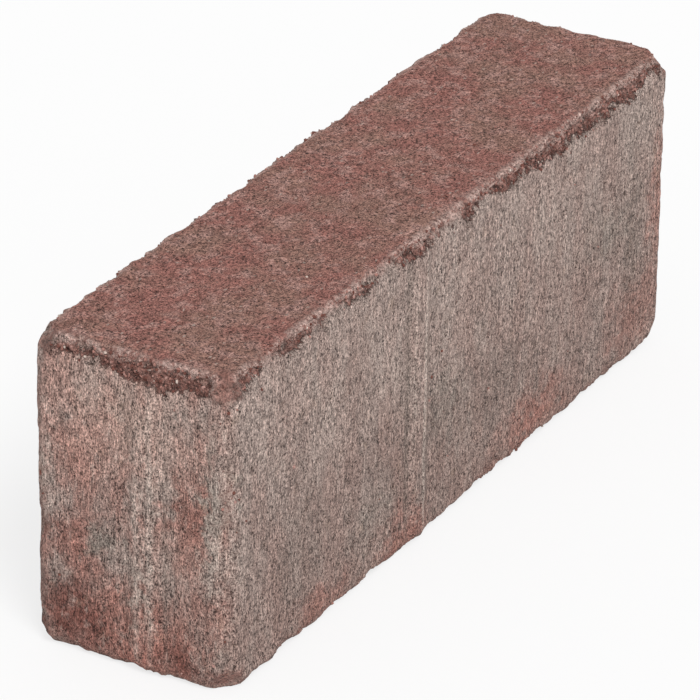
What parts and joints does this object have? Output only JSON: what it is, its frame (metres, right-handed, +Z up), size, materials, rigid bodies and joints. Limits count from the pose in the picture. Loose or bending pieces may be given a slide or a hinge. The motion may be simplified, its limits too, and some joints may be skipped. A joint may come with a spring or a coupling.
{
  "type": "tumbled brick",
  "caption": "Brick-size paving block of pressed concrete with edges and corners worn and chipped by tumbling, and a low upright spacer rib on each side.",
  "frame": {"origin": "centre of the bed face, on the floor that the block lies on", "axes": "+X along the length, +Y across the width, +Z up from the bed face to the walking face"},
  "size_m": [0.1998, 0.0508, 0.075],
  "materials": {
    "concrete": "matt pressed concrete, brick red mottled with grey, with pale cement haze on the sides"
  },
  "bodies": {
    "root": {"brick": "concrete"}
  },
  "joints": []
}
